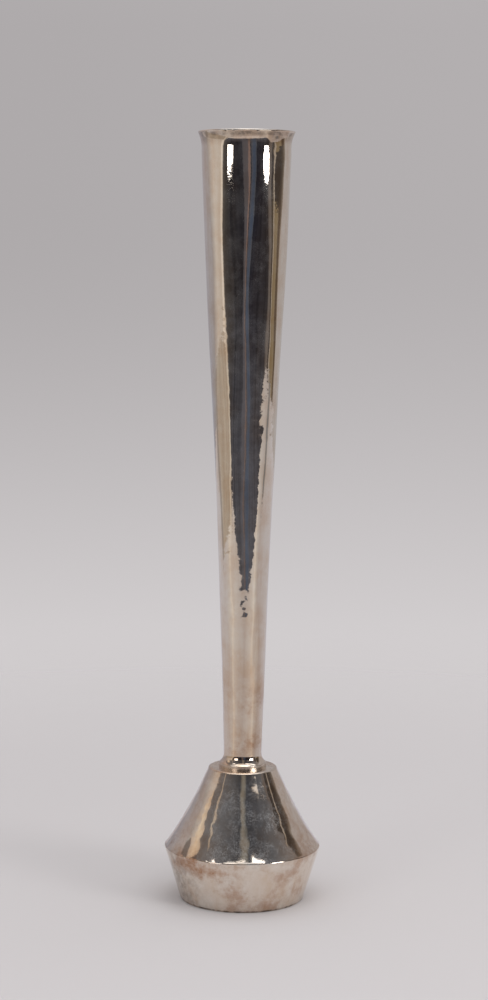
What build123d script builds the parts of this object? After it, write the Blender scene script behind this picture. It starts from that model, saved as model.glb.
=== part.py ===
from build123d import *
import math
import os

# Trumpet vase in hand-hammered silver: a tall tapering tube with a turned-out lip,
# standing in a collar on a weighted base of two cones set mouth to mouth.
# Millimetres, +Z up. The origin is the centre of the underside, on the table.

os.makedirs("parts", exist_ok=True)

# Whole vase
vase_height = 400.0
solder_gap = 0.08  # room for solder between pieces that slide into each other
overrun = 5.0  # how far a cutting form runs past what it cuts

# Trumpet tube
tube_wall = 1.0
lip_radius = 25.0  # outermost point of the rounded lip
lip_lean = 24.0  # degrees from upright at the edge of the turned-out lip
flare_radius = 20.0  # outer curve of the turned-out lip
taper_lean = 1.8  # degrees from upright at both ends of the long taper
neck_radius = 9.9  # straight lower end, which passes through the collar and the crown
tube_depth = 14.0  # how far the lower end reaches below the crown
taper_shares = ((0.30, 0.233), (0.70, 0.672))  # of the taper's height and of its widening
end_disc_thickness = 1.2

# Collar, a cove moulding round the foot of the tube
collar_radius = 12.4
collar_height = 7.3
collar_step = 2.2  # upright face below the cove
collar_edge = 0.2  # thin upper edge against the tube
collar_round = 0.4

# Base: the band leans out up to the shoulder, the bell draws in from there to the flat crown
foot_radius = 32.6
shoulder_radius = 41.0
shoulder_height = 27.9
bell_height = 42.1  # from the shoulder to the crown
crown_radius = 17.7
bell_pull_share = 0.46  # control point of the bell's curve, as a share of its draw-in
bell_lift_share = 0.33  # and of its height
base_wall = 1.1  # sheet of the bell and band, measured level
crown_round = 0.8
foot_round = 0.3

# Underside and filling
plate_thickness = 1.0
plate_recess = 0.8  # the plate lies this far above the table, inside the band's edge
filling_gap = 0.2  # shrinkage of the set filling away from the sheet
filling_headroom = 4.0  # left empty under the crown

# Heights that several pieces share
crown_height = shoulder_height + bell_height
collar_top = crown_height + collar_height
tube_foot = crown_height - tube_depth
plate_top = plate_recess + plate_thickness


def turned(outline):
    """Solid of revolution about the vase's axis from an outline drawn as (radius, height)."""
    return revolve(Plane.XZ * outline, Axis.Z)


def rounded(outline, corner, radius):
    """The outline with the corner at that point rounded."""
    nearest = outline.vertices().sort_by_distance(corner)[0]
    return fillet(nearest, radius)


def band_radius(height):
    """Outer radius of the leaning band at a height above the table."""
    return foot_radius + (shoulder_radius - foot_radius) * height / shoulder_height


def band_form(inset, bottom, top):
    """Filled cone that follows the band's outside, drawn in by the inset."""
    edge = Polyline(
        (0, bottom),
        (band_radius(bottom) - inset, bottom),
        (band_radius(top) - inset, top),
        (0, top),
        close=True,
    )
    return turned(make_face(edge))


def bell_form(inset, top):
    """Filled bell that follows the bell's outside, drawn in by the inset and cut level at the top."""
    low_edge = shoulder_radius - inset
    high_edge = crown_radius - inset
    pull = (
        low_edge - bell_pull_share * (shoulder_radius - crown_radius),
        shoulder_height + bell_lift_share * bell_height,
    )
    curve = Bezier((low_edge, shoulder_height), pull, (high_edge, crown_height))
    edge = Polyline(
        (high_edge, crown_height),
        (0, crown_height),
        (0, shoulder_height),
        (low_edge, shoulder_height),
    )
    whole = turned(make_face(curve + edge))
    if top < crown_height:
        whole = split(whole, Plane.XY.offset(top), keep=Keep.BOTTOM)
    return whole


def upright(radius, bottom, top):
    """Cylinder on the vase's axis between two heights."""
    pin = Cylinder(radius, top - bottom, align=(Align.CENTER, Align.CENTER, Align.MIN))
    return Pos(0, 0, bottom) * pin


def into_bore(lean):
    """Unit step from the tube's outside into its wall, where the tube leans out by that angle."""
    turn = math.radians(lean)
    return Vector(-math.cos(turn), math.sin(turn))


def along_tube(lean):
    """Unit step up along the tube's side, where the tube leans out by that angle."""
    turn = math.radians(lean)
    return Vector(math.sin(turn), math.cos(turn))


def tube_side(inset, flare_centre):
    """The tube's side from its foot to its lip, drawn in by the inset: 0 is the outside."""
    neck = Vector(neck_radius - inset, collar_top)
    throat = flare_centre + into_bore(taper_lean) * (flare_radius + inset)
    taper_points = [
        neck + Vector(wide * (throat.X - neck.X), high * (throat.Y - neck.Y))
        for high, wide in taper_shares
    ]
    lean_in = along_tube(taper_lean)
    taper = Spline(neck, *taper_points, throat, tangents=(lean_in, lean_in))
    straight = Line((neck.X, tube_foot), neck)
    turn_out = taper_lean - lip_lean
    flare = CenterArc(flare_centre, flare_radius + inset, 180 - taper_lean, turn_out)
    return straight + taper + flare


def make_trumpet_tube():
    """Sheet tube: straight neck, long trumpet taper, lip turned out and rounded over."""
    half_wall = tube_wall / 2
    lip_middle = Vector(lip_radius - half_wall, vase_height - half_wall)
    flare_centre = lip_middle - into_bore(lip_lean) * (flare_radius + half_wall)
    lip = ThreePointArc(
        lip_middle - into_bore(lip_lean) * half_wall,
        lip_middle + along_tube(lip_lean) * half_wall,
        lip_middle + into_bore(lip_lean) * half_wall,
    )
    foot = Line((neck_radius, tube_foot), (neck_radius - tube_wall, tube_foot))
    outline = tube_side(0, flare_centre) + lip + tube_side(tube_wall, flare_centre) + foot
    return turned(make_face(outline))


def make_tube_end_disc():
    """Disc soldered flush into the lower end of the tube, which makes it hold water."""
    bore = neck_radius - tube_wall
    return upright(bore - solder_gap, tube_foot, tube_foot + end_disc_thickness)


def make_collar():
    """Cove moulding that sits on the crown and hides the joint round the tube."""
    bore = neck_radius + solder_gap
    brim = bore + collar_edge
    step_top = crown_height + collar_step
    cove = TangentArc((brim, collar_top), (collar_radius, step_top), tangent=(0, -1))
    rest = Polyline(
        (collar_radius, step_top),
        (collar_radius, crown_height),
        (bore, crown_height),
        (bore, collar_top),
        (brim, collar_top),
    )
    section = make_face(cove + rest)
    return turned(rounded(section, (collar_radius, step_top), collar_round))


def make_base_bell():
    """Bell-curved cone of sheet, turned in to a flat crown with a hole for the tube."""
    shell = bell_form(0, crown_height) - bell_form(base_wall, crown_height - base_wall)
    shell -= upright(neck_radius + solder_gap, shoulder_height, crown_height + overrun)
    crown_edge = shell.edges().group_by(Axis.Z)[-1].sort_by(SortBy.RADIUS)[-1]
    return fillet(crown_edge, crown_round)


def make_base_band():
    """Ring of sheet that leans in towards the table and stands on its lower edge."""
    section = Polyline(
        (foot_radius, 0),
        (shoulder_radius, shoulder_height),
        (shoulder_radius - base_wall, shoulder_height),
        (foot_radius - base_wall, 0),
        close=True,
    )
    return turned(rounded(make_face(section), (foot_radius, 0), foot_round))


def make_base_plate():
    """Thin disc let in under the filling, clear of the table."""
    return upright(foot_radius - base_wall - solder_gap, plate_recess, plate_top)


def make_base_filling():
    """Set cement that weights the base and grips the end of the tube."""
    inset = base_wall + filling_gap
    ceiling = crown_height - base_wall - filling_headroom
    mass = band_form(inset, plate_top, shoulder_height) + bell_form(inset, ceiling)
    return mass - upright(neck_radius + filling_gap, tube_foot - filling_gap, crown_height)


pieces = {
    "trumpet_tube": make_trumpet_tube(),
    "tube_end_disc": make_tube_end_disc(),
    "collar": make_collar(),
    "base_bell": make_base_bell(),
    "base_band": make_base_band(),
    "base_plate": make_base_plate(),
    "base_filling": make_base_filling(),
}

for name, piece in pieces.items():
    export_step(piece, f"parts/{name}.step")
    print(f"{name}: {piece.volume / 1000:.2f} cm3")
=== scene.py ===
# %% [markdown]
# Trumpet vase in hammered silver.
#
# The real vase is sheet silver that a smith raised over a steel stake: a long tapering tube with a
# turned-out lip, a small cove collar that hides its joint, and a weighted base of two cones set
# mouth to mouth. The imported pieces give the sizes. This lesson gives them the skin that the hammer,
# the polishing cloth and some years of air left on them, and sets them in a plain studio.

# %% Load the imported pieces
import math

import bpy
import numpy as np
from mathutils import Matrix, Vector


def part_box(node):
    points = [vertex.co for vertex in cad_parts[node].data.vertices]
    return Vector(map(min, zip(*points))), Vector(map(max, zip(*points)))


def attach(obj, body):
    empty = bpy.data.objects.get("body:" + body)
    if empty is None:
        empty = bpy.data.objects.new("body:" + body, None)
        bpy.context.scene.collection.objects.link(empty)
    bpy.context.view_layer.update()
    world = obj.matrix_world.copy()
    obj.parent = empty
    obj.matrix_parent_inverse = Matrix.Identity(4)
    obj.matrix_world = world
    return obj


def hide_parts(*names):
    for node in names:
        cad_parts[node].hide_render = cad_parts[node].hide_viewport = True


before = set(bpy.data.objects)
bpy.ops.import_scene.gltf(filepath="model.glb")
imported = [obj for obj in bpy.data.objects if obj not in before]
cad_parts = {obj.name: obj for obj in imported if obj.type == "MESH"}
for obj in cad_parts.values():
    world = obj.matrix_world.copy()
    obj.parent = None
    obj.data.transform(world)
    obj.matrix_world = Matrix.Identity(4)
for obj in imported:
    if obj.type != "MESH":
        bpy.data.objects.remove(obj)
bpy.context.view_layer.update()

MM = 0.001
print("packed pieces:", sorted(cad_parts))

# %% [markdown]
# The picture was taken from a little over a metre away with the lens just under the height of the
# lip, so the eye looks down on the base and very slightly up at the lip. A camera that is placed by
# its real distance, height and tilt gives the same perspective, where one that is fitted by eye to
# the frame would draw the ellipses of the base wrong.

# %% Camera
eye_distance = 1140.0
eye_height = 336.8
eye_aside = -0.2
look_down = 6.31  # degrees
picture_lean = 0.38  # degrees, so that the lip stands a little right of the foot
focal_length = 79.46

camera_data = bpy.data.cameras.new("camera")
camera_data.lens = focal_length
camera = bpy.data.objects.new("camera", camera_data)
bpy.context.scene.collection.objects.link(camera)
eye = Vector((eye_aside, -eye_distance, eye_height)) * MM
tilt = Matrix.Rotation(math.radians(90 - look_down), 4, "X")
lean = Matrix.Rotation(math.radians(picture_lean), 4, "Z")
camera.matrix_world = Matrix.Translation(eye) @ tilt @ lean
bpy.context.scene.camera = camera
bpy.context.scene.view_settings.view_transform = "Standard"
print("camera at", [round(x, 4) for x in eye])

# %% [markdown]
# Everything here is round, so each piece starts as an outline of (radius, height) points in
# millimetres that is turned about the axis. A modifier could spin the outline, but the hammer marks
# have to know where each point lies on the sheet, so the points are worked out with numpy instead.
# Three small tools draw the outlines: an arc, a rounded corner, and points at even steps. A
# fourth one gives a place round the vase by its angle, counted from straight in front.

# %% Tools for outlines and places
def round_vase(degrees, radius, height):
    """A point at that angle round the vase, counted from straight in front to the right."""
    turn = math.radians(degrees)
    return (radius * math.sin(turn), -radius * math.cos(turn), height)


def arc(centre, radius, first, last, count=24):
    """Points on an arc between two angles in degrees."""
    turn = np.radians(np.linspace(first, last, count))
    return np.asarray(centre) + radius * np.column_stack([np.cos(turn), np.sin(turn)])


def rounded(before, corner, after, radius, count=7):
    """Points that round the corner between two straight sides."""
    before, corner, after = (np.asarray(point, float) for point in (before, corner, after))
    sides = [side / np.linalg.norm(side) for side in (before - corner, after - corner)]
    half = math.acos(np.clip(sides[0] @ sides[1], -1, 1)) / 2
    middle = (sides[0] + sides[1]) / np.linalg.norm(sides[0] + sides[1])
    centre = corner + middle * radius / math.sin(half)
    start, end = (corner + side * radius / math.tan(half) - centre for side in sides)
    first = math.degrees(math.atan2(start[1], start[0]))
    sweep = math.degrees(math.atan2(start[0] * end[1] - start[1] * end[0], start @ end))
    return arc(centre, radius, first, first + sweep, count)


def spaced(points, step):
    """Points at even steps along a line."""
    points = np.asarray(points, float)
    steps = np.linalg.norm(np.diff(points, axis=0), axis=1)
    along = np.concatenate([[0.0], np.cumsum(steps)])
    at = np.linspace(0.0, along[-1], max(2, round(along[-1] / step) + 1))
    return np.column_stack([np.interp(at, along, points[:, axis]) for axis in (0, 1)])


quarter = spaced(arc((0, 0), 10.0, 0, 90), 1.0)
print("a quarter arc of 10 mm at steps of 1 mm has", len(quarter), "points")

# %% [markdown]
# The tube's outline. Below the collar it is straight, then it widens slowly, a little faster in the
# middle, and a short arc turns the lip out. The long taper is one polynomial through the two heights
# where the widening is known, with its lean set at both ends. A mirror shows every kink, and a
# polynomial has none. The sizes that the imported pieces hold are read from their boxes.

# %% The tube's outline
tube_low, tube_high = (np.array(corner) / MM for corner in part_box("trumpet_tube"))
collar_low, collar_high = (np.array(corner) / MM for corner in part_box("collar"))
lip_radius = tube_high[0]
vase_height = tube_high[2]
tube_foot = tube_low[2]
crown_height = collar_low[2]
collar_top = collar_high[2]
tube_wall = 1.0
neck_radius = 9.9
flare_radius = 20.0
lip_lean = 24.0  # degrees from upright
taper_lean = 1.8  # degrees from upright at both ends of the taper
taper_shares = ((0.30, 0.233), (0.70, 0.672))  # of the taper's height and of its widening
taper_points = 400


def into_bore(lean_degrees):
    """Unit step from the tube's outside into its wall."""
    turn = math.radians(lean_degrees)
    return np.array([-math.cos(turn), math.sin(turn)])


lip_middle = np.array([lip_radius, vase_height]) - tube_wall / 2
flare_centre = lip_middle - into_bore(lip_lean) * (flare_radius + tube_wall / 2)


def tube_side(inset):
    """The tube's side from its foot to its lip. An inset of 0 is the outside."""
    neck = np.array([neck_radius - inset, collar_top])
    throat = flare_centre + into_bore(taper_lean) * (flare_radius + inset)
    widening, rise = throat - neck
    end_slope = math.tan(math.radians(taper_lean)) * rise / widening
    powers = np.arange(6)  # as many terms as there are known places and leans
    known = [(0.0**powers, 0.0), (1.0**powers, 1.0)]
    known += [(high**powers, wide) for high, wide in taper_shares]
    known += [(1.0 * (powers == 1), end_slope), (1.0 * powers, end_slope)]
    shape = np.linalg.solve([row for row, value in known], [value for row, value in known])
    share = np.linspace(0, 1, taper_points)
    wide = np.power.outer(share, powers) @ shape
    taper = neck + np.column_stack([wide * widening, share * rise])
    flare = arc(flare_centre, flare_radius + inset, 180 - taper_lean, 180 - lip_lean)
    straight = [(neck_radius - inset, tube_foot)]
    return np.vstack([straight, taper, flare[1:]])


print("points on the tube's side:", len(tube_side(0)))

# %% [markdown]
# A check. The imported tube's taper is a spline and this one is a polynomial, so the two could drift
# apart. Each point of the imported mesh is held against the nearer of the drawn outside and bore.

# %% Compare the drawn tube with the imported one
tube_points = np.array([vertex.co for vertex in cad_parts["trumpet_tube"].data.vertices]) / MM
packed_radius = np.hypot(tube_points[:, 0], tube_points[:, 1])
packed_height = tube_points[:, 2]
apart = np.full(len(tube_points), np.inf)
for inset in (0, tube_wall):
    radius, level = tube_side(inset).T
    apart = np.minimum(apart, abs(packed_radius - np.interp(packed_height, level, radius)))
on_sides = (packed_height < lip_middle[1] - tube_wall) & (packed_height > tube_foot + tube_wall)
print("drawn tube leaves the packed one by", round(apart[on_sides].max(), 3), "mm at most")

# %% [markdown]
# Planishing: the smith goes round the tube ring by ring with a smooth, slightly domed hammer, and
# each blow leaves a shallow dish a few millimetres across. Where dishes meet, a low ridge stays, and
# polishing wears it down. A bump map could fake this, but the marks bend the reflections and also
# belong in the mesh, so every blow is placed by a seeded random draw and pressed into the points.

# %% Hammer marks
chance = np.random.default_rng(17)
ring_step_share = 0.74  # step from ring to ring, as a share of a mark's height
blow_step_share = 0.78  # step from blow to blow, as a share of a mark's width
dish_share = 0.78  # reach of a dish from its middle, as a share of a mark
fewest_blows = 6
stray_round = 0.22  # how far a blow strays along its ring, as a share of the step
stray_up = 0.2  # and up or down, as a share of a mark's height
size_spread = (0.85, 1.25)  # least and most, as shares of the usual reach
depth_spread = (0.6, 1.3)  # and of the usual depth


def hammered(along, radius, columns, mark, depth):
    """How far each point of a turned sheet is pressed in, in mm: a row for each step along it."""
    mark_width, mark_height = mark
    angles = np.arange(columns) * 2 * math.pi / columns
    pressed = np.zeros((len(along), columns))
    ring_step = ring_step_share * mark_height
    for ring in np.arange(along[0] - ring_step, along[-1] + ring_step, ring_step):
        ring_radius = np.interp(ring, along, radius)
        blows = max(fewest_blows, round(2 * math.pi * ring_radius / (blow_step_share * mark_width)))
        start = chance.uniform(0, 2 * math.pi)
        for blow in range(blows):
            angle = start + (blow + chance.normal(0, stray_round)) * 2 * math.pi / blows
            place = ring + chance.normal(0, stray_up) * mark_height
            reach_up = dish_share * mark_height * chance.uniform(*size_spread)
            reach_round = dish_share * mark_width * chance.uniform(*size_spread)
            deep = depth * chance.uniform(*depth_spread)
            rows = slice(*np.searchsorted(along, [place - reach_up, place + reach_up]))
            up = (along[rows, None] - place) / reach_up
            turn = (angles[None, :] - angle + math.pi) % (2 * math.pi) - math.pi
            across = turn * radius[rows, None] / reach_round
            dish = deep * (1 - up**2 - across**2)
            pressed[rows] = np.maximum(pressed[rows], dish)
    return pressed


def softened(pressed, passes):
    """Ridges worn down by polishing: each point moves half way to the mean of its four neighbours."""
    for _ in range(passes):
        sideways = np.roll(pressed, 1, axis=1) + np.roll(pressed, -1, axis=1)
        padded = np.pad(pressed, ((1, 1), (0, 0)), mode="edge")
        pressed = 0.5 * pressed + 0.125 * (sideways + padded[:-2] + padded[2:])
    return pressed


print("one polish leaves", softened(np.eye(3), 1)[1, 1], "of a single high point")

# %% [markdown]
# Slow waves. Raising a sheet by hand also leaves waves that are centimetres long and far too low to see,
# except in what they do to a reflection. A few cosine waves with seeded lengths and places, added up, look
# as irregular as the real ones.

# %% Slow waves
waves_each = 3  # waves drawn for each number of rounds
fewest_rounds = 2
usual_rounds = 6
wave_spread = (0.7, 2.2)  # shortest and longest, as shares of the usual wave


def uneven(along, columns, wave, height, most_rounds=usual_rounds):
    """Slow waves left by hand raising, in mm. The height is their spread about the middle."""
    angles = np.arange(columns) * 2 * math.pi / columns
    total = np.zeros((len(along), columns))
    for rounds in range(fewest_rounds, most_rounds + 1):
        for _ in range(waves_each):
            length = wave * chance.uniform(*wave_spread)
            shift, twist = chance.uniform(0, 2 * math.pi, 2)
            up = np.cos(along * 2 * math.pi / length + shift)
            total += np.outer(up, np.cos(rounds * angles + twist))
    return height * total / total.std()


print("waves added up on most sheets:", waves_each * (usual_rounds - fewest_rounds + 1))

# %% [markdown]
# Turning. An outline runs up the outside, over the edge and down the inside, so that the turned sheet
# is a closed body with a real wall. Every point has its own depth, by which the hammer pressed it in.
# The faces also get a map of the unrolled sheet, under the name that the exporter looks for. Edges
# sharper than a set angle stay crisp, and all others are shaded smooth.

# %% Turn an outline into a sheet-metal piece
sharp_angle = math.radians(38)


def turned(name, outline, columns, marks, first=0):
    """A mesh object turned from a closed outline in mm. The marks press it in from row first on."""
    pressed = np.zeros((len(outline), columns))
    pressed[first:first + len(marks)] = marks
    following = np.roll(outline, -1, axis=0) - np.roll(outline, 1, axis=0)
    outward = np.column_stack([following[:, 1], -following[:, 0]])
    outward /= np.linalg.norm(outward, axis=1)[:, None]
    radius = outline[:, :1] - pressed * outward[:, :1]
    height = outline[:, 1:] - pressed * outward[:, 1:]
    angles = np.arange(columns) * 2 * math.pi / columns
    points = np.stack([radius * np.cos(angles), radius * np.sin(angles), height], axis=-1) * MM
    rows = len(outline)
    row, column = (grid.ravel() for grid in np.mgrid[0:rows, 0:columns])
    above, beside = (row + 1) % rows, (column + 1) % columns
    corners = [(row, column), (row, beside), (above, beside), (above, column)]
    faces = np.stack([r * columns + c for r, c in corners], axis=-1)
    mesh = bpy.data.meshes.new(name)
    mesh.from_pydata(points.reshape(-1, 3).tolist(), [], faces.tolist())
    map_corners = [(row, column), (row, column + 1), (row + 1, column + 1), (row + 1, column)]
    shares = [np.stack([c / columns, r / rows], axis=-1) for r, c in map_corners]
    unrolled = np.stack(shares, axis=1)
    sheet_map = mesh.uv_layers.new(name="OFBake")
    sheet_map.uv.foreach_set("vector", unrolled.astype(np.float32).ravel())
    mesh.shade_smooth()
    mesh.set_sharp_from_angle(angle=sharp_angle)
    piece = bpy.data.objects.new(name, mesh)
    bpy.context.scene.collection.objects.link(piece)
    print(name, "faces:", len(mesh.polygons), "deepest mark in mm:", round(pressed.max(), 3))
    return piece


def length_along(outline):
    """Distance of each point from the outline's start."""
    steps = np.linalg.norm(np.diff(outline, axis=0), axis=1)
    return np.concatenate([[0.0], np.cumsum(steps)])


print("the tube is", length_along(tube_side(0))[-1].round(1), "mm long along its side")

# %% [markdown]
# The trumpet tube's sheet. The outside is drawn at steps of under a millimetre, so that a dish of
# five millimetres has enough points to be round. The bore only shows at the mouth, so it takes longer
# steps below that. A half circle, the edge that was rounded over with a file, joins the two.

# %% The tube's sheet
tube_columns = 192
outside_step = 0.8
mouth_step = 1.5
mouth_depth = 30.0
bore_step = 8.0
lip_points = 9

outside = spaced(tube_side(0), outside_step)
lip = arc(lip_middle, tube_wall / 2, -lip_lean, 180 - lip_lean, lip_points)[1:-1]
bore = tube_side(tube_wall)[::-1]
at_mouth = bore[:, 1] > vase_height - mouth_depth
bore = np.vstack([spaced(bore[at_mouth], mouth_step), spaced(bore[~at_mouth], bore_step)])
tube_outline = np.vstack([outside, lip, bore])
print("points up the outside, over the lip and down the bore:", len(outside), len(lip), len(bore))

# %% [markdown]
# How the tube was planished. The marks are even over most of it and finer towards the lip. Some patches
# were left rougher, and a few spots have the deepest marks. The patches come from a slow random wave
# that is cut off at a floor. The spots are listed one by one, because they break up the edges of the
# reflections that the eye looks at first.

# %% The tube's hammer marks
tube_mark = (4.0, 5.0)  # width and height of a mark
tube_mark_depth = 0.022
mark_start = 4.0  # the marks set in over this height above the collar
fine_from = 250.0  # above this height the marks get finer
fine_to = 330.0
fine_share = 0.35
rough_patch = 45.0  # length of a patch that was planished less
rough_patch_share = 1.3  # how much deeper its marks are
rough_patch_floor = 0.7  # the higher it is, the fewer the patches
rough_patch_end = 320.0  # above this height the patches fade out
rough_patch_fade = 30.0
rough_spots = (  # spots with the deepest marks: degrees from the front, height and reach
    (-33, 305, 11), (-35, 266, 8), (34, 250, 9), (-30, 160, 16), (0, 148, 11), (42, 388, 7),
)
rough_spot_share = 2.5


def near_spots(outline, columns, spots):
    """1 in the middle of each spot on a turned sheet, fading away past its reach."""
    from_front = np.arange(columns) * 360 / columns + 90
    total = np.zeros((len(outline), columns))
    for turn, level, reach in spots:
        round_way = np.radians((from_front - turn + 180) % 360 - 180) * outline[:, :1]
        total += np.exp(-(round_way**2 + (outline[:, 1:] - level) ** 2) / reach**2)
    return total


along = length_along(outside)
heights = outside[:, 1]
marks = softened(hammered(along, outside[:, 0], tube_columns, tube_mark, tube_mark_depth), passes=1)
worked_heights = [collar_top, collar_top + mark_start, fine_from, fine_to]
worked_share = np.interp(heights, worked_heights, [0, 1, 1, fine_share])
patches = np.clip(uneven(along, tube_columns, rough_patch, 1.0) - rough_patch_floor, 0, None)
patch_heights = [rough_patch_end, rough_patch_end + rough_patch_fade]
patches *= np.interp(heights, patch_heights, [1, 0])[:, None]
spots = near_spots(outside, tube_columns, rough_spots)
marks *= worked_share[:, None] * (1 + rough_patch_share * patches) + rough_spot_share * spots
print("deepest hammer mark:", marks.max().round(3), "mm")

# %% [markdown]
# The tube's waves. A tube that was raised by hand is never quite round. Long waves run over it, short
# ripples lie on them, and the lip has waves of its own, because it was turned out last. They are a few
# tenths of a millimetre high at most. On a matt surface nobody would see them, but they make every
# reflected line waver. The bore's faces get the second material, which is given to the tube later on.

# %% Trumpet tube
tube_wave = 110.0
tube_wave_height = 0.10
tube_wave_rounds = 9  # the most waves that go once round the tube
tube_ripple = 26.0
tube_ripple_height = 0.008
tube_ripple_rounds = 22
wave_start = 30.0  # the waves set in over this height above the collar
lip_wave_height = 0.12
lip_wave_start = 12.0  # below the edge, where the lip's waves set in
lip_wave_full = 5.0  # below the edge, where they are full
lip_edge_share = 0.2  # what the filed edge keeps of them

waves = uneven(along, tube_columns, tube_wave, tube_wave_height, tube_wave_rounds)
waves += uneven(along, tube_columns, tube_ripple, tube_ripple_height, tube_ripple_rounds)
marks += waves * np.interp(heights, [collar_top, collar_top + wave_start], [0, 1])[:, None]
lip_waves = uneven(along, tube_columns, tube_wave, lip_wave_height)
lip_heights = [vase_height - lip_wave_start, vase_height - lip_wave_full, vase_height]
marks += lip_waves * np.interp(heights, lip_heights, [0, 1, lip_edge_share])[:, None]
tube = turned("hammered_trumpet_tube", tube_outline, tube_columns, marks)
bore_faces = np.repeat(np.arange(len(tube_outline)) >= len(outside) + len(lip), tube_columns)
tube.data.polygons.foreach_set("material_index", bore_faces.astype(np.int32))

# %% [markdown]
# The collar is a cove moulding, drawn as a strip and bent into a ring. It was filed rather than
# hammered, so it only has the slow unevenness of hand work. Its foot has an upright face, and the
# edge between that face and the cove is softly rounded.

# %% Collar
collar_radius = collar_high[0]
solder_gap = 0.01  # the joint is filled, so the moulding runs into the tube
collar_edge = 0.02
collar_step = 2.2
collar_round = 0.4
collar_step_size = 0.4  # between points on the upright face
cove_start = 3  # the rounded edge takes the place of this many points of the cove
collar_columns = 160
collar_wave = 8.0
collar_wave_height = 0.006

collar_bore = neck_radius + solder_gap
brim = collar_bore + collar_edge
cove_run = collar_radius - brim
cove_drop = collar_top - crown_height - collar_step
cove_radius = (cove_run**2 + cove_drop**2) / (2 * cove_run)
cove_turn = math.degrees(math.asin(cove_drop / cove_radius))
cove = arc((brim + cove_radius, collar_top), cove_radius, 180 + cove_turn, 180)
step_corner = (collar_radius, crown_height + collar_step)
foot_face = spaced([(collar_radius, crown_height), step_corner], collar_step_size)
edge = rounded(foot_face[0], step_corner, cove[cove_start], collar_round)
top = [(collar_bore, collar_top), (collar_bore, crown_height)]
collar_outline = np.vstack([foot_face[:-1], edge, cove[cove_start:], top])
waves = uneven(length_along(collar_outline), collar_columns, collar_wave, collar_wave_height)
collar = turned("collar_moulding", collar_outline, collar_columns, waves[:-len(top)])

# %% [markdown]
# The base. The band leans out to the shoulder and the bell draws in from there along one quadratic
# curve. They are two sheets, soldered edge to edge and filed over, so one rounded corner runs across
# the joint and each sheet takes its own side of it. The bell turns in to a flat crown.

# %% The base's outline
bell_low, bell_high = (np.array(corner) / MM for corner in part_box("base_bell"))
shoulder_radius = bell_high[0]
shoulder_height = bell_low[2]
foot_radius = 32.6
crown_radius = 17.7
bell_pull_share = 0.46
bell_lift_share = 0.33
base_wall = 1.1
crown_round = 1.5
foot_round = 0.7
shoulder_round = 0.9
shoulder_points = 15
bell_points = 200

bell_height = crown_height - shoulder_height
pull = np.array([
    shoulder_radius - bell_pull_share * (shoulder_radius - crown_radius),
    shoulder_height + bell_lift_share * bell_height,
])
shoulder = np.array([shoulder_radius, shoulder_height])
crown = np.array([crown_radius, crown_height])


def bell_side(inset):
    """The bell's curve from the shoulder to the crown, drawn in by the inset."""
    share = np.linspace(0, 1, bell_points)[:, None]
    curve = (1 - share) ** 2 * shoulder + 2 * share * (1 - share) * pull + share**2 * crown
    return curve - [inset, 0]


shoulder_edge = rounded((foot_radius, 0), shoulder, pull, shoulder_round, shoulder_points)
joint_radius = np.interp(shoulder_height, shoulder_edge[:, 1], shoulder_edge[:, 0])
joint = [(joint_radius, shoulder_height)]
band_part = shoulder_edge[shoulder_edge[:, 1] < shoulder_height]
bell_part = shoulder_edge[shoulder_edge[:, 1] > shoulder_height]
print("shoulder rounded from", shoulder_radius.round(2), "to", joint_radius.round(2), "mm")

# %% [markdown]
# The bell was raised from a disc with broader and deeper blows. Towards the shoulder and the crown it
# was smoothed again, so the marks fade there. Its underside is closed in by the band and the plate,
# so the inside is drawn with few points.

# %% Bell
base_columns = 300
base_step = 0.8
inside_step = 3.2
bell_mark = (5.5, 6.5)
bell_mark_depth = 0.12
bell_smooth_low = (0.0, 5.0, 12.0)  # the marks set in along these distances from the shoulder
bell_smooth_high = (14.0, 4.0)  # and fade between these distances from the crown's edge
bell_worked_shares = (0.2, 0.3, 1.0, 1.0, 0.2)  # how much of the marks stays at these five places
base_wave = 40.0
base_wave_height = 0.07
base_wave_rounds = 9

crown_edge = rounded(bell_side(0)[-2], crown, (neck_radius, crown_height), crown_round)
curve = bell_side(0)
curve = curve[(curve[:, 1] > bell_part[-1, 1]) & (curve[:, 1] < crown_edge[0, 1])]
bell_skin = spaced(np.vstack([bell_part[-1:], curve, crown_edge[:1]]), base_step)
ceiling = crown_height - base_wall
inner = bell_side(base_wall)
inner = spaced(inner[inner[:, 1] < ceiling][::-1], inside_step)
hole = [(collar_bore, crown_height), (collar_bore, ceiling)]
crown_flat = spaced([crown_edge[-1], hole[0]], base_step)[1:-1]
top_of_bell = [crown_edge[1:], crown_flat, hole]
bell_outline = np.vstack([joint, bell_part[:-1], bell_skin, *top_of_bell, inner])
along = length_along(bell_skin)
marks = softened(hammered(along, bell_skin[:, 0], base_columns, bell_mark, bell_mark_depth), passes=1)
marks += uneven(along, base_columns, base_wave, base_wave_height, base_wave_rounds)
worked_places = [*bell_smooth_low, *(along[-1] - np.array(bell_smooth_high))]
marks *= np.interp(along, worked_places, bell_worked_shares)[:, None]
first = len(joint) + len(bell_part) - 1
bell = turned("hammered_base_bell", bell_outline, base_columns, marks, first)

# %% [markdown]
# The band is a strip bent into a cone. It stands on its lower edge, which is filed flat and only
# just rounded outside.

# %% Band
band_mark = (6.0, 6.0)
band_mark_depth = 0.08
band_edge = 2.0  # the marks set in and fade over this distance from the edges
band_worked_shares = (0.1, 1.0, 1.0, 0.2)  # how much of them stays, from the foot to the shoulder

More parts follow.
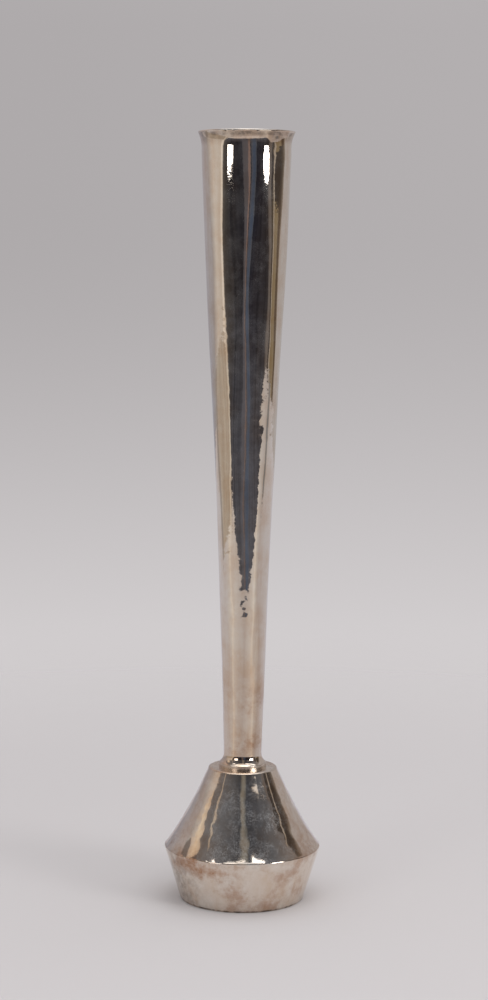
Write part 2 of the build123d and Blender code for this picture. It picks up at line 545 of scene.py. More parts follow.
foot = np.array([foot_radius, 0.0])
foot_edge = rounded((foot_radius - base_wall, 0), foot, shoulder, foot_round)
band_skin = spaced([foot_edge[-1], band_part[0]], base_step)
inside_top = (shoulder_radius - base_wall, shoulder_height)
inside = spaced([inside_top, (foot_radius - base_wall, 0)], inside_step)
band_outline = np.vstack([foot_edge[:-1], band_skin, band_part[1:], joint, inside])
along = length_along(band_skin)
marks = softened(hammered(along, band_skin[:, 0], base_columns, band_mark, band_mark_depth), passes=2)
marks += uneven(along, base_columns, base_wave, base_wave_height, base_wave_rounds)
worked_places = [0.0, band_edge, along[-1] - band_edge, along[-1]]
marks *= np.interp(along, worked_places, band_worked_shares)[:, None]
first = len(foot_edge) - 1
band = turned("hammered_base_band", band_outline, base_columns, marks, first)

# %% [markdown]
# Each new piece stands for one imported node and rides on the vase's only body. The node that it
# stands for is hidden.

# %% Tie the pieces to the frame
stands_for = {"trumpet_tube": tube, "collar": collar, "base_bell": bell, "base_band": band}
for node_name, piece in stands_for.items():
    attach(piece, "root")
    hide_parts(node_name)
print("replaced:", sorted(stands_for))

# %% [markdown]
# Materials are built from nodes. One function turns an sRGB hex value into the linear numbers that
# shaders work in, one turns a real pattern size into a noise scale, and one adds a node, sets it up
# and links it.

# %% Tools for materials
def linear(hex_colour):
    """Linear RGBA from an sRGB hex value."""
    parts = [int(hex_colour[start:start + 2], 16) / 255 for start in (1, 3, 5)]
    return [p / 12.92 if p <= 0.04045 else ((p + 0.055) / 1.055) ** 2.4 for p in parts] + [1.0]


def per_metre(size_mm):
    """Noise scale for a pattern whose features are that many millimetres apart."""
    return 1 / (size_mm * MM)


def add(tree, kind, inputs=None, **settings):
    """Adds a node. An input is a constant or another node's output socket."""
    node = tree.nodes.new(kind)
    for name, value in settings.items():
        setattr(node, name, value)
    for socket, value in (inputs or {}).items():
        if isinstance(value, bpy.types.NodeSocket):
            tree.links.new(value, node.inputs[socket])
        else:
            node.inputs[socket].default_value = value
    return node


def new_material(name):
    """An empty node material and its tree."""
    material = bpy.data.materials.new(name)
    material.use_nodes = True
    material.node_tree.nodes.clear()
    return material, material.node_tree


print("middle grey #808080 is", round(linear("#808080")[0], 3), "in linear light")

# %% [markdown]
# A mask says how much of a mark a place gets. Here it is added up from smooth ramps, each over a source
# of its own: a noise, a height or a distance. All the places where one mark grows then stand in one
# short list. A painted mask would do as well, but it has to be stored as a picture.

# %% Tools for masks
def layered(tree, ramps, base=0.0):
    """A base value plus smooth ramps, kept between 0 and 1.

    A ramp is (source, from, to, most): 0 where the source is at from, and most where it is at to."""
    total = base
    for source, start, end, most in ramps:
        ramp = add(tree, "ShaderNodeMapRange", {
            "Value": source, "From Min": start, "From Max": end, "To Max": most,
        }, interpolation_type="SMOOTHSTEP")
        added = add(tree, "ShaderNodeMath", {0: total, 1: ramp.outputs[0]}, operation="ADD")
        total = added.outputs[0]
    return add(tree, "ShaderNodeClamp", {"Value": total}).outputs[0]


def away_from(tree, height, level):
    """Distance above or below a level."""
    above = add(tree, "ShaderNodeMath", {0: height, 1: level}, operation="SUBTRACT")
    return add(tree, "ShaderNodeMath", {0: above.outputs[0]}, operation="ABSOLUTE").outputs[0]


def at(level, steps):
    """The two ends of a ramp, counted up from a level."""
    return [level + step for step in steps]


print("the last millimetre under the rim, in mm:", np.round(at(vase_height, (-1.0, 0.0)), 1))

# %% [markdown]
# Planished silver. Sterling silver that was hammered, polished with a cloth and then left in a room
# for some years is a bright mirror that the years have marked. Every kind of mark starts as a cloudy
# noise of its own real size, and the seed makes each one another pattern. Only the marks of the
# cloth are drawn out, because it was rubbed up and down. Specks and grain are under a millimetre on a
# real vase and are drawn at just over one, to show at this size.

# %% Patterns on the planished silver
patterns = {  # size in mm, seed, detail and roughness of the noise
    "clouds": (13.0, 0.0, 6.0, 0.65),
    "cloth_marks": (3.5, 0.0, 3.0, 0.5),
    "stains": (17.0, 6.6, 8.0, 0.7),
    "tarnish": (3.0, 5.0, 4.0, 0.6),
    "bloom": (12.0, 8.0, 8.0, 0.7),
    "specks": (1.1, 9.0, 3.0, 0.65),
    "grain": (1.3, 0.0, 2.0, 0.5),
}
cloth_stretch = 12.0  # how many times longer than wide a cloth mark is

planished, tree = new_material("planished_sterling_silver")
place = add(tree, "ShaderNodeTexCoord").outputs["Object"]
cloth_way = add(tree, "ShaderNodeMapping", {"Vector": place, "Scale": (1.0, 1.0, 1 / cloth_stretch)})
noise = {}
for name, (size, seed, detail, roughness) in patterns.items():
    way = cloth_way.outputs[0] if name == "cloth_marks" else place
    noise[name] = add(tree, "ShaderNodeTexNoise", {
        "Vector": way, "W": seed, "Scale": per_metre(size), "Detail": detail, "Roughness": roughness,
    }, noise_dimensions="4D").outputs["Fac"]
print("patterns on the silver:", sorted(noise))

# %% [markdown]
# Film. Air leaves a thin warm film on silver. One tint all over would look like plastic, so the film is
# added up from the places where it grows: clouds a centimetre wide, upright marks of the cloth, the
# underside of the lip where hands lift the vase, the neck above the collar, and the corner round the
# collar. The rim and the base are rubbed cleaner. Film takes blue and green out of a reflection, so it
# reads as beige.

# %% Film
silver_bright = linear("#EBE3D9")
silver_filmed = linear("#D5B99E")
corner_height = crown_height + 1.0  # middle of the corner between the collar and the crown
corner_reach = 2.2
under_lip = (-9.0, -4.0)  # from the rim: film starts and is full here
rubbed_rim = (-0.7, -0.2)  # from the rim
low_neck = (88.0, 38.0)  # from the collar's top
over_joint = (3.0, 0.0)  # from the shoulder

metres_up = add(tree, "ShaderNodeSeparateXYZ", {"Vector": place}).outputs["Z"]
height = add(tree, "ShaderNodeMath", {0: metres_up, 1: 1 / MM}, operation="MULTIPLY").outputs[0]
from_corner = away_from(tree, height, corner_height)
film = layered(tree, [
    (noise["clouds"], 0.36, 0.7, 0.42),
    (noise["cloth_marks"], 0.36, 0.7, 0.26),
    (height, *at(vase_height, under_lip), 0.25),
    (height, *at(vase_height, rubbed_rim), -0.9),
    (height, *at(collar_top, low_neck), 0.25),
    (height, collar_top, crown_height, -0.15),  # the whole base
    (height, *at(shoulder_height, over_joint), -0.15),  # the band once more
    (from_corner, corner_reach, corner_reach / 2, 0.05),
])
print("film on the neck starts", round(collar_top + low_neck[0], 1), "mm above the table")

# %% [markdown]
# Stains, tarnish and painted shade. Drops that dried on the silver leave pink-brown stains with cloudy
# edges, most of them on the band and low on the neck. Dark tarnish stays where no cloth reaches: in a
# line under the rim and round the collar. The same dark colour is painted as shade in a thin line along
# the standing edge, where the contact shadow lies. The band is also darker towards its foot and in one
# patch on its left. A coarse noise draws the stains and a fine one the tarnish and the painted shade.
# The height says how much of each a place gets, and the distance from single spots adds to it.

# %% Stains, tarnish and painted shade
silver_stained = linear("#AE815F")
# this dark colour serves for tarnish and for the painted contact shade at the standing edge
silver_tarnish_and_shade = linear("#6E6157")
stained_lip = (-8.0, -5.0)  # from the rim
stained_neck = (70.0, 10.0)  # from the collar's top
tarnished_lip = (-8.0, -4.0)  # from the rim
rim_line = vase_height - 2.0
rim_line_reach = (1.4, 0.4)  # from the line, above or below it
rim_line_end = (0.5, 1.2)  # from the line, up to the clean rim
darker_foot = (7.0, 0.0)  # from the table, where the band is darker towards its foot
contact_shade_line = (1.4, 0.5)  # from the table: painted shade, a dark line along the standing edge for the contact shadow
dark_patch = (-68, 38, 14)  # a darker patch on the band's left: degrees from the front, radius and height
dark_patch_reach = 30.0
dried_drops = (  # single large stains: degrees from the front, radius, height, reach and strength
    (42, 11, 104, 17, 0.5), (-35, 10, 82, 9, 0.5), (30, 10, 84, 12, 0.5),
    (-26, 39, 22, 18, 0.5), (-55, 38, 17, 24, 0.6), (-72, 39, 32, 16, 0.8), (72, 39, 33, 16, 0.8),
)

drop_ramps = []
for turn, radius, level, reach, strength in dried_drops:
    spot = [side * MM for side in round_vase(turn, radius, level)]
    away = add(tree, "ShaderNodeVectorMath", {0: place, 1: spot}, operation="DISTANCE")
    drop_ramps.append((away.outputs["Value"], reach * MM, 0.0, strength))
stain_shape = layered(tree, [(noise["stains"], 0.44, 0.68, 1.0)])
stain_place = layered(tree, [
    (height, *at(vase_height, stained_lip), 0.5),
    (height, *at(collar_top, stained_neck), 0.3),
    (height, *at(shoulder_height, over_joint), 0.35),
    *drop_ramps,
])
stained = add(tree, "ShaderNodeMath", {0: stain_shape, 1: stain_place}, operation="MULTIPLY")
tarnish_and_shade_shape = layered(tree, [(noise["tarnish"], 0.4, 0.62, 0.65)], 0.35)
dark_patch_spot = [side * MM for side in round_vase(*dark_patch)]
dark_patch_distance = add(tree, "ShaderNodeVectorMath", {0: place, 1: dark_patch_spot}, operation="DISTANCE")
tarnish_and_shade_place = layered(tree, [
    (height, *at(vase_height, tarnished_lip), 0.3),
    (height, *at(rim_line, rim_line_end), -0.3),
    (away_from(tree, height, rim_line), *rim_line_reach, 0.4),
    (from_corner, corner_reach, corner_reach / 2, 0.25),
    # a darker patch on the band's left, and the band darker towards its foot
    (dark_patch_distance.outputs["Value"], dark_patch_reach * MM, 0.0, 0.6),
    (height, *darker_foot, 0.2),
    # painted shade: a thin dark line along the standing edge stands for the contact shadow
    (height, *contact_shade_line, 1.0),
])
tarnish_and_shade = add(tree, "ShaderNodeMath", {0: tarnish_and_shade_shape, 1: tarnish_and_shade_place}, operation="MULTIPLY")
print("single stains:", len(dried_drops))

# %% [markdown]
# Bloom and shine. Breath and damp leave a thin dull bloom in patches, most of it on the bell, where it
# is broken into specks. It lies on the mirror and scatters a little light, so a weak, rough coat over
# the metal gives its pale veil, and what the silver mirrors still shows through. Between the patches
# the silver is a clear mirror with a grain so fine that it only breaks up the edges of a reflection.

# %% Bloom and shine
bright_roughness = 0.025
filmed_roughness = 0.055
bloom_roughness = 0.5
bloom_index = 2.2  # refractive index, which sets how much light the veil scatters
grain_depth = 0.02
veiled_bell = (0.0, -8.0)  # from the crown
clear_band = (0.0, -4.0)  # from the shoulder

bloom_shape = layered(tree, [(noise["bloom"], 0.42, 0.66, 1.0)])
bloom_specks = layered(tree, [
    (noise["specks"], 0.44, 0.56, 0.85),
    (height, crown_height, collar_top, 1.0),
], 0.15)
bloom_place = layered(tree, [
    (height, *at(crown_height, veiled_bell), 0.8),
    (height, *at(shoulder_height, clear_band), -0.8),
], 0.2)
speckled = add(tree, "ShaderNodeMath", {0: bloom_shape, 1: bloom_specks}, operation="MULTIPLY")
bloom = add(tree, "ShaderNodeMath", {0: speckled.outputs[0], 1: bloom_place}, operation="MULTIPLY")
dullness = layered(tree, [
    (film, 0.0, 1.0, filmed_roughness - bright_roughness),
    (from_corner, corner_reach, corner_reach / 2, 0.2),
    (height, collar_top, crown_height, 0.03),
], bright_roughness)
dents = add(tree, "ShaderNodeBump", {
    "Height": noise["grain"], "Strength": 0.5, "Distance": grain_depth * MM,
})
warm = add(tree, "ShaderNodeMix", {0: film, 6: silver_bright, 7: silver_filmed}, data_type="RGBA")
spotted = add(tree, "ShaderNodeMix", {
    0: stained.outputs[0], 6: warm.outputs[2], 7: silver_stained,
}, data_type="RGBA")
# tarnish and the painted contact shade are mixed in last
aged_and_shaded = add(tree, "ShaderNodeMix", {
    0: tarnish_and_shade.outputs[0], 6: spotted.outputs[2], 7: silver_tarnish_and_shade,
}, data_type="RGBA")
shader = add(tree, "ShaderNodeBsdfPrincipled", {
    "Base Color": aged_and_shaded.outputs[2],
    "Metallic": 1.0,
    "Roughness": dullness,
    "Normal": dents.outputs[0],
    "Coat Weight": bloom.outputs[0],
    "Coat Roughness": bloom_roughness,
    "Coat IOR": bloom_index,
})
add(tree, "ShaderNodeOutputMaterial", {"Surface": shader.outputs[0]})
for piece in stands_for.values():
    piece.data.materials.append(planished)
print("planished silver on", len(stands_for), "pieces")

# %% [markdown]
# Sheet silver inside and underneath: the bore, the disc at the bottom of the tube and the plate under
# the base were only rubbed down with emery, never polished. That leaves fine straight scratches and a
# satin shine. Real scratches are much finer, and are drawn at 0.7 mm so that they show at all.

# %% Rubbed sheet silver
rubbed_pale = linear("#DDD3C8")
rubbed_dark = linear("#B09A88")
scratch_size = 0.7
scratch_stretch = 25.0  # how many times longer than wide a scratch is
scratch_depth = 0.02
dull_patch_size = 14.0

rubbed, tree = new_material("emery_rubbed_sheet_silver")
place = add(tree, "ShaderNodeTexCoord").outputs["Object"]
drawn_out = add(tree, "ShaderNodeMapping", {"Vector": place, "Scale": (1 / scratch_stretch, 1.0, 1.0)})
scratch = add(tree, "ShaderNodeTexNoise", {
    "Vector": drawn_out.outputs[0], "Scale": per_metre(scratch_size), "Detail": 3.0,
}).outputs["Fac"]
patch = add(tree, "ShaderNodeTexNoise", {
    "Vector": place, "Scale": per_metre(dull_patch_size), "Detail": 4.0,
})
dull = add(tree, "ShaderNodeMapRange", {"Value": patch.outputs["Fac"], "From Min": 0.35, "From Max": 0.7})
colour = add(tree, "ShaderNodeMix", {
    0: dull.outputs[0], 6: rubbed_pale, 7: rubbed_dark,
}, data_type="RGBA")
dullness = add(tree, "ShaderNodeMapRange", {"Value": scratch, "To Min": 0.28, "To Max": 0.5})
dents = add(tree, "ShaderNodeBump", {
    "Height": scratch, "Strength": 0.6, "Distance": scratch_depth * MM,
})
shader = add(tree, "ShaderNodeBsdfPrincipled", {
    "Base Color": colour.outputs[2],
    "Metallic": 1.0,
    "Roughness": dullness.outputs[0],
    "Normal": dents.outputs[0],
})
add(tree, "ShaderNodeOutputMaterial", {"Surface": shader.outputs[0]})
print("scratches", scratch_size, "mm wide and", scratch_size * scratch_stretch, "mm long")

# %% [markdown]
# The filling is a cement grout that was poured into the upturned base and set there. Nothing of it
# shows on the whole vase, but a reader who takes the base apart finds a pale, dry, slightly sandy
# mass with small dark pores.

# %% Set cement
cement_pale = linear("#A9A296")
cement_dark = linear("#7E776C")
sand_size = 1.5
sand_depth = 0.3
pore_spacing = 5.0
pore_share = 0.25  # reach of a pore, as a share of the spacing

cement, tree = new_material("poured_cement")
place = add(tree, "ShaderNodeTexCoord").outputs["Object"]
sand = add(tree, "ShaderNodeTexNoise", {"Vector": place, "Scale": per_metre(sand_size), "Detail": 6.0})
pores = add(tree, "ShaderNodeTexVoronoi", {"Vector": place, "Scale": per_metre(pore_spacing)})
pore_edge = add(tree, "ShaderNodeMapRange", {"Value": pores.outputs["Distance"], "From Max": pore_share})
shade = add(tree, "ShaderNodeMath", {
    0: sand.outputs["Fac"], 1: pore_edge.outputs[0],
}, operation="MULTIPLY").outputs[0]
colour = add(tree, "ShaderNodeMix", {0: shade, 6: cement_dark, 7: cement_pale}, data_type="RGBA")
dents = add(tree, "ShaderNodeBump", {"Height": shade, "Strength": 0.7, "Distance": sand_depth * MM})
shader = add(tree, "ShaderNodeBsdfPrincipled", {
    "Base Color": colour.outputs[2],
    "Roughness": 0.92,
    "Normal": dents.outputs[0],
})
add(tree, "ShaderNodeOutputMaterial", {"Surface": shader.outputs[0]})
print("sand of", sand_size, "mm with a pore every", pore_spacing, "mm")

# %% [markdown]
# The hidden pieces. The disc, the plate and the filling have the right shape as they were packed, so
# they stay and only get their finish. The bore takes the second material of the tube's mesh.

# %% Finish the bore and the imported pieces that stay
tube.data.materials.append(rubbed)
finish_of = {"tube_end_disc": rubbed, "base_plate": rubbed, "base_filling": cement}
for node_name, material in finish_of.items():
    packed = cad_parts[node_name]
    packed.data.materials.clear()
    packed.data.materials.append(material)
print("finished in place:", sorted(finish_of))

# %% [markdown]
# A mirror looks like what stands round it, so the studio matters more than the material. The vase
# stands on a sheet of pale paper on a table. The paper is a matt surface that takes the vase's shadow,
# and it fades into an even pale ground, so that the picture has no horizon.

# %% Paper floor
paper = linear("#D6D2D2")
paper_half = 1400.0
table_edge = 740.0  # the table ends here in front
fade_from = 250.0
fade_to = 900.0


def card(name, corners, material, faces=None):
    """A stage card through its corners, in mm: one face, unless its faces are given."""
    mesh = bpy.data.meshes.new(name)
    mesh.from_pydata((np.array(corners) * MM).tolist(), [], faces or [list(range(len(corners)))])
    mesh.materials.append(material)
    made = bpy.data.objects.new(name, mesh)
    bpy.context.scene.collection.objects.link(made)
    return made


paper_floor, tree = new_material("matt_paper")
place = add(tree, "ShaderNodeTexCoord").outputs["Object"]
distance = add(tree, "ShaderNodeVectorMath", {0: place}, operation="LENGTH").outputs["Value"]
fade = add(tree, "ShaderNodeMapRange", {
    "Value": distance, "From Min": fade_from * MM, "From Max": fade_to * MM,
}, interpolation_type="SMOOTHSTEP")
matt = add(tree, "ShaderNodeBsdfDiffuse", {"Color": paper})
clear = add(tree, "ShaderNodeBsdfTransparent")
surface = add(tree, "ShaderNodeMixShader", {
    0: fade.outputs[0], 1: matt.outputs[0], 2: clear.outputs[0],
})
add(tree, "ShaderNodeOutputMaterial", {"Surface": surface.outputs[0]})
front_edge = [(-paper_half, -table_edge, 0), (paper_half, -table_edge, 0)]
back_edge = [(paper_half, paper_half, 0), (-paper_half, paper_half, 0)]
card("paper_floor", front_edge + back_edge, paper_floor)
print("paper fades out between", fade_from, "and", fade_to, "mm")

# %% [markdown]
# The far ground and the soft light from all round are the world. It is pale below the horizon, where
# the paper fades into it, darker from the horizon up, as a backdrop falls off, and light again
# overhead. The backdrop is a shade lighter on the right. All of it depends on the direction only, so it
# has no edge or seam anywhere.

# %% World
ground = linear("#DAD6D7")
backdrop_left = linear("#AEAAAB")
backdrop_right = linear("#B3AFB0")
overhead = linear("#E4E4E6")
backdrop_sides = (-0.12, 0.12)  # from left to right, as the aside part of a direction of length 1
backdrop_rise = (-0.26, 0.02)  # from the ground to the backdrop, as the upward part
overhead_rise = (0.1, 0.9)  # from the backdrop to overhead

world = bpy.data.worlds.new("studio")
bpy.context.scene.world = world
world.use_nodes = True
tree = world.node_tree
tree.nodes.clear()
direction = add(tree, "ShaderNodeTexCoord").outputs["Generated"]
aside, _, rise = add(tree, "ShaderNodeSeparateXYZ", {"Vector": direction}).outputs
across = layered(tree, [(aside, *backdrop_sides, 1.0)])
low = layered(tree, [(rise, *backdrop_rise, 1.0)])
high = add(tree, "ShaderNodeMapRange", {
    "Value": rise, "From Min": overhead_rise[0], "From Max": overhead_rise[1],
}).outputs[0]
backdrop = add(tree, "ShaderNodeMix", {0: across, 6: backdrop_left, 7: backdrop_right}, data_type="RGBA")
lower = add(tree, "ShaderNodeMix", {0: low, 6: ground, 7: backdrop.outputs[2]}, data_type="RGBA")
sky = add(tree, "ShaderNodeMix", {0: high, 6: lower.outputs[2], 7: overhead}, data_type="RGBA")
glow = add(tree, "ShaderNodeBackground", {"Color": sky.outputs[2], "Strength": 1.0})
add(tree, "ShaderNodeOutputWorld", {"Surface": glow.outputs[0]})
print("world nodes:", len(tree.nodes))

# %% [markdown]
# The rest of the studio only shows in the silver: cloths and cards that hang round the vase. A
# photographer hangs dark and pale cards round a mirror, because its form is drawn by the stripes that
# they make. Here they glow by themselves, and their colours lie on their corners. A second material
# breaks the colours of a cloth into upright folds.

# %% Card paint and hanging cloth
fold_size = 220.0
fold_stretch = 20.0  # how many times longer than wide a fold is
fold_shade = (0.72, 1.28)  # light in the depth of a fold and on its ridge

painted, tree = new_material("painted_card")
paint = add(tree, "ShaderNodeAttribute", attribute_name="paint")
shine = add(tree, "ShaderNodeEmission", {"Color": paint.outputs["Color"]})
add(tree, "ShaderNodeOutputMaterial", {"Surface": shine.outputs[0]})

cloth, tree = new_material("hanging_cloth")
paint = add(tree, "ShaderNodeAttribute", attribute_name="paint")
place = add(tree, "ShaderNodeTexCoord").outputs["Object"]
hanging = add(tree, "ShaderNodeMapping", {"Vector": place, "Scale": (1.0, 1.0, 1 / fold_stretch)})
folds = add(tree, "ShaderNodeTexNoise", {
    "Vector": hanging.outputs[0], "Scale": per_metre(fold_size), "Detail": 4.0,
})
light = add(tree, "ShaderNodeMapRange", {
    "Value": folds.outputs["Fac"], "From Min": 0.3, "From Max": 0.7,
    "To Min": fold_shade[0], "To Max": fold_shade[1],
}).outputs[0]
shine = add(tree, "ShaderNodeEmission", {"Color": paint.outputs["Color"], "Strength": light})
add(tree, "ShaderNodeOutputMaterial", {"Surface": shine.outputs[0]})
print("card materials:", painted.name, "and", cloth.name)

# %% [markdown]
# Each card is one strip of faces, bent round the vase. It casts no shadow and is hidden from every ray
# but a reflection, so that the vase and the paper keep their plain light. A card that is made later
# hangs a little nearer, so that it covers the ones before it.

# %% Tools for cards that only show in reflections
wall_radius = 2000.0
card_gap = 5.0  # each card hangs this much nearer than the last
card_turn = 5.0  # degrees from one corner of a bent card to the next
cards = []


def only_in_reflections(made):
    """Hides a stage card from everything but mirror reflections."""
    made.visible_camera = False
    made.visible_diffuse = False
    made.visible_transmission = False
    made.visible_shadow = False
    return made


def painted_strip(name, stops, foot, head, material):
    """A strip of faces between two lines, painted from colour to colour at the given angles.

    A stop is (angle, colour) or (angle, colour at the head, colour at the foot). The foot and the
    head are functions that give the point of their line at an angle."""
    turns = [stop[0] for stop in stops]
    steps = np.union1d(turns, np.arange(turns[0], turns[-1], card_turn))
    corners = [line(turn) for turn in steps for line in (foot, head)]
    strips = [(2 * i, 2 * i + 2, 2 * i + 3, 2 * i + 1) for i in range(len(steps) - 1)]
    made = only_in_reflections(card(name, corners, material, strips))
    colours = np.array([[linear(stop[-1]), linear(stop[1])] for stop in stops])
    layer = made.data.color_attributes.new("paint", "FLOAT_COLOR", "POINT")
    for step, turn in enumerate(steps):
        for end in (0, 1):
            colour = [np.interp(turn, turns, colours[:, end, channel]) for channel in range(4)]
            layer.data[2 * step + end].color = colour
    cards.append(made)
    return made


def painted_card(name, bottom, top, stops, radius=None, slants=(0.0, 0.0), material=painted):
    """A card bent round the vase. The ends of its foot can be turned some degrees to the right."""
    ends = stops[0][0], stops[-1][0]
    away = radius or wall_radius - card_gap * len(cards)

    def foot(turn):
        return round_vase(turn + np.interp(turn, ends, slants), away, bottom)

    def head(turn):
        return round_vase(turn, away, top)

    return painted_strip(name, stops, foot, head, material)


print("cards hang from", wall_radius, "mm inwards")

# %% [markdown]
# Dark cloth hangs in front, grey walls stand behind and at the sides. The left wall is warmer higher up.
# The cloth takes some light from the floor at its foot. A second cloth above it is paler and a little
# blue, and the bell mirrors that one, with a pale strip and a small near-white patch on it. The patch
# stands in for a lamp and gives a painted highlight high on the bell.

# %% Walls and cloths
room_top = 3100.0
cloth_top = 900.0
cloth_bend = 100.0
cloth_foot = -350.0
patch_foot = 1190.0
patch_top = 1280.0
foot_lit = "#5F616B"
dark = [(-100, "#565250"), (-62, "#524E4B"), (-40, "#2F2E32"), (20, "#24242D"), (111, "#423D3A")]
lit_dark = [(turn, colour, foot_lit) for turn, colour in dark]

painted_card("grey_wall_left", 0, room_top, [
    (-180, "#D4BEB0", "#A4A4AA"), (-150, "#D8C0B0", "#9E9FAA"), (-100, "#DAC0AE", "#A1A0A3"),
])
painted_card("grey_wall_right", 0, room_top, [(111, "#B0ABAB"), (180, "#B0ADAE")])
painted_card("dark_cloth_foot", cloth_foot, cloth_bend, lit_dark, material=cloth)
painted_card("dark_cloth", cloth_bend, cloth_top, dark, material=cloth)
painted_card("upper_cloth", cloth_top, room_top, [
    (-112, "#857E7C"), (-50, "#6A6D74"), (-10, "#484B52"),
    (20, "#42454D"), (60, "#5E6168"), (112, "#8A817C"),
])
painted_card("upper_pale_strip", cloth_top, room_top, [
    (-5, "#5C5E60"), (1, "#82807A"), (6, "#82807A"), (12, "#5C5E60"),
])
# a near-white patch in place of a lamp: a painted highlight on the bell
painted_card("upper_pale_patch", patch_foot, patch_top, [
    (26, "#8C8F94"), (29, "#F0ECE6"), (43, "#F0ECE6"), (46, "#8C8F94"),
])
print("walls and cloths:", len(cards))

# %% [markdown]
# Strips and cards in front of the dark cloth, from the middle to the right. A strip of one colour gives
# a thin upright line in the tube, and a broad card a broad stripe. A low dark stand gives the thin
# dark line low down on the right of the tube.

# %% Strips and cards on the right
grey_top = 1100.0
gold_top = 300.0
brown_top = 1300.0
stand_top = 114.0
stand_distance = 1220.0
right_slant = -12.0  # degrees

painted_card("tan_strip", cloth_foot, cloth_top, [
    (-8, "#38332F", foot_lit), (-1, "#4E403B", foot_lit),
    (0, "#8A6E62", "#6C6363"), (2, "#8A6E62", "#6C6363"), (3, "#3C3738", foot_lit),
])
painted_card("navy_strip", cloth_foot, cloth_top, [
    (4, "#2E3138", foot_lit), (8, "#303B50", "#535D70"),
    (13, "#303B50", "#535D70"), (17, "#2E323A", foot_lit),
])
painted_card("grey_strip", 0, grey_top, [(62, "#4E4A49"), (67, "#6E6866"), (74, "#6A625D")])
painted_card("brown_card", gold_top, brown_top, [
    (76, "#403A36"), (96, "#443D38"), (104, "#5C534B"), (111, "#8F867E"),
])
painted_card("gold_card", 0, gold_top, [
    (76, "#4A443E"), (79, "#6A6052"), (83, "#84775F"), (96, "#8A7C66"),
    (100, "#5E5144"), (106, "#5E5144"), (111, "#9C9389"),
])
painted_card("dark_stand", 0, stand_top, [
    (78, "#B4ACA4"), (83, "#7A7A7E"), (86, "#828286"), (91, "#B4ACA4"),
], stand_distance)
right_slants = (right_slant, right_slant)
painted_card("pale_strip_right", 0, brown_top, [(90, "#A0968B"), (93, "#AAA095")], slants=right_slants)
print("with the right side:", len(cards))

# %% [markdown]
# The cards on the left are the lightest, with a bright edge towards the dark cloth. Their feet spread
# towards the front and the back, so the stripe widens down the tube. The lowest one is cloth, and its
# folds break the stripe up.

# %% Strips and cards on the left
left_foot = 600.0
left_top = 1800.0
left_slant = 10.0  # degrees
side_distance = 960.0
side_middle = 180.0
side_top = 480.0
side_head = 780.0
beige_slants = (-4.0, 7.0)
olive_slants = (-6.0, 12.0)

left_slants = (left_slant, left_slant)
left_strip = [(-70, "#B8AEA2"), (-67, "#C4BAAE")]
painted_card("pale_strip_left", left_foot, left_top, left_strip, slants=left_slants)
painted_card("beige_card", side_middle, side_top, [
    (-112, "#A8A5A6"), (-95, "#CCC4BD"), (-75, "#C8C0B8"),
    (-73, "#E4DDD4"), (-70, "#E4DDD4"), (-67, "#6E6B69"),
], side_distance, beige_slants)
painted_card("olive_card", 0, side_middle, [
    (-116, "#A6A3A4"), (-96, "#B0A69A"), (-68, "#AA9F92"),
    (-66, "#C8BFB4"), (-63, "#C8BFB4"), (-60, "#6E6B69"),
], side_distance, olive_slants, cloth)
painted_card("beige_card_top", side_top, side_head, [
    (-102, "#C9BDB4"), (-93, "#E6D7C3"), (-84, "#CBBCAC"),
], side_distance)
print("with the left side:", len(cards))

# %% [markdown]
# The table top and the ceiling close the studio. The lower half of the tube mirrors the table, which has
# two streaks of painted light where the lamps fall on it and painted shade straight in front, and it is
# darker on the far right. The white ceiling glows brighter than white paint, as a lamp would, and shows
# in the crown and the collar.

# %% Table top and ceiling
table_near = 200.0
table_far = 2500.0
table_level = 0.5  # just over the paper, which it stands for in reflections
ceiling_height = 2400.0
ceiling_half = 1000.0
ceiling_glow = 1.5


def table_start(turn):
    """A point of the table's inner line at an angle."""
    return round_vase(turn, table_near, table_level)


def table_end(turn):
    """The point where the table ends at an angle."""
    towards_front = max(math.cos(math.radians(turn)), table_edge / table_far)
    return round_vase(turn, table_edge / towards_front, table_level)


painted_strip("table_top", [
    (-180, "#C2C0C8"), (-90, "#C2BEC0"), (-66, "#CCC7C4"), (-59, "#DED8D2"), (-53, "#D0CBC8"),
    (-30, "#C2BDBC"), (0, "#BBB6B6"), (44, "#D0CBC8"), (52, "#DCD6D1"), (59, "#C6C1BE"),
    (75, "#B6B0B0"), (130, "#C4C2C8"), (180, "#C2C0C8"),
], table_start, table_end, painted)
white, tree = new_material("white_ceiling")
shine = add(tree, "ShaderNodeEmission", {"Strength": ceiling_glow})
add(tree, "ShaderNodeOutputMaterial", {"Surface": shine.outputs[0]})
corners = [(-1, -1), (1, -1), (1, 1), (-1, 1)]
ceiling_corners = [(x * ceiling_half, y * ceiling_half, ceiling_height) for x, y in corners]
only_in_reflections(card("white_ceiling", ceiling_corners, white))
print("table ends", table_edge, "mm in front")

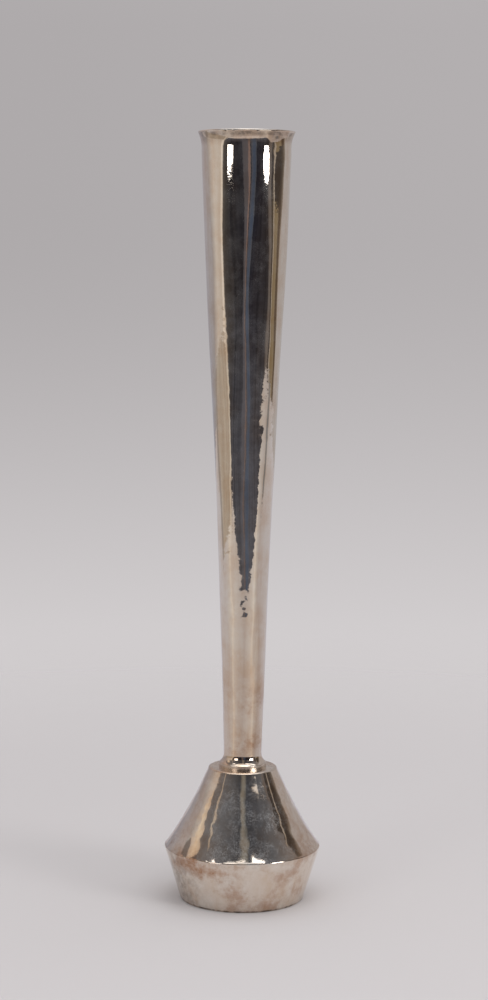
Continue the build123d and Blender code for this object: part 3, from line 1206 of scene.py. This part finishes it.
# %% [markdown]
# Two soft boxes stand in front, left and right, with their lower ends just high enough to mirror in the
# upper tube as two bright patches. A small oval lamp under each one rounds the patch's lower end. Smaller
# lamps high up mirror in the flare of the bell: a row of four on the right, one in the middle and one on
# the left. A row of lamps at one height follows the bell's curve, where one wide lamp would cut across
# it. One large lamp overhead gives soft light to all.

# %% Soft boxes
box_distance = 1500.0
box_height = 450.0
oval_height = 52.0
front_boxes = (  # side, degrees, width, glow and height of the foot
    ("left", -40, 540, 3.0, 338),
    ("right", 54, 520, 9.0, 348),
)
high_distance = 1100.0
row_degrees = (30, 50, 70, 90)
bell_aim = 65.0
high_lights = [  # name, degrees, distance, height, size, glow and the height that the lamp faces
    *[(f"high_light_{turn}", turn, high_distance, 1600, (380, 130), 2.2, bell_aim) for turn in row_degrees],
    ("high_light_middle", -12, high_distance, 1740, (700, 50), 1.0, bell_aim),
    ("high_light_left", -64, high_distance, 1460, (380, 120), 2.0, bell_aim),
    ("overhead_light", 90, 150, 2300, (1300, 1000), 1.5, 0),
]


def soft_box(name, degrees, distance, middle_height, size, glow, aim_height, shape="RECTANGLE"):
    """A lamp that faces the vase's axis. The glow is its brightness, where 1 is white."""
    lamp = bpy.data.lights.new(name, "AREA")
    lamp.shape = shape
    lamp.size, lamp.size_y = (side * MM for side in size)
    filled_share = math.pi / 4 if shape == "ELLIPSE" else 1.0
    lamp.energy = glow * math.pi * lamp.size * lamp.size_y * filled_share
    made = bpy.data.objects.new(name, lamp)
    made.location = Vector(round_vase(degrees, distance, middle_height)) * MM
    aim = Vector((0, 0, aim_height * MM)) - made.location
    made.rotation_euler = aim.to_track_quat("-Z", "Y").to_euler()
    made.visible_camera = False
    bpy.context.scene.collection.objects.link(made)
    return made


for side, degrees, width, glow, foot in front_boxes:
    middle = foot + box_height / 2
    soft_box(f"soft_box_{side}", degrees, box_distance, middle, (width, box_height), glow, middle)
    soft_box(f"oval_{side}", degrees, box_distance, foot, (width, oval_height), glow, foot, "ELLIPSE")
for lamp_values in high_lights:
    soft_box(*lamp_values)
print("lamps:", sorted(lamp.name for lamp in bpy.data.lights))
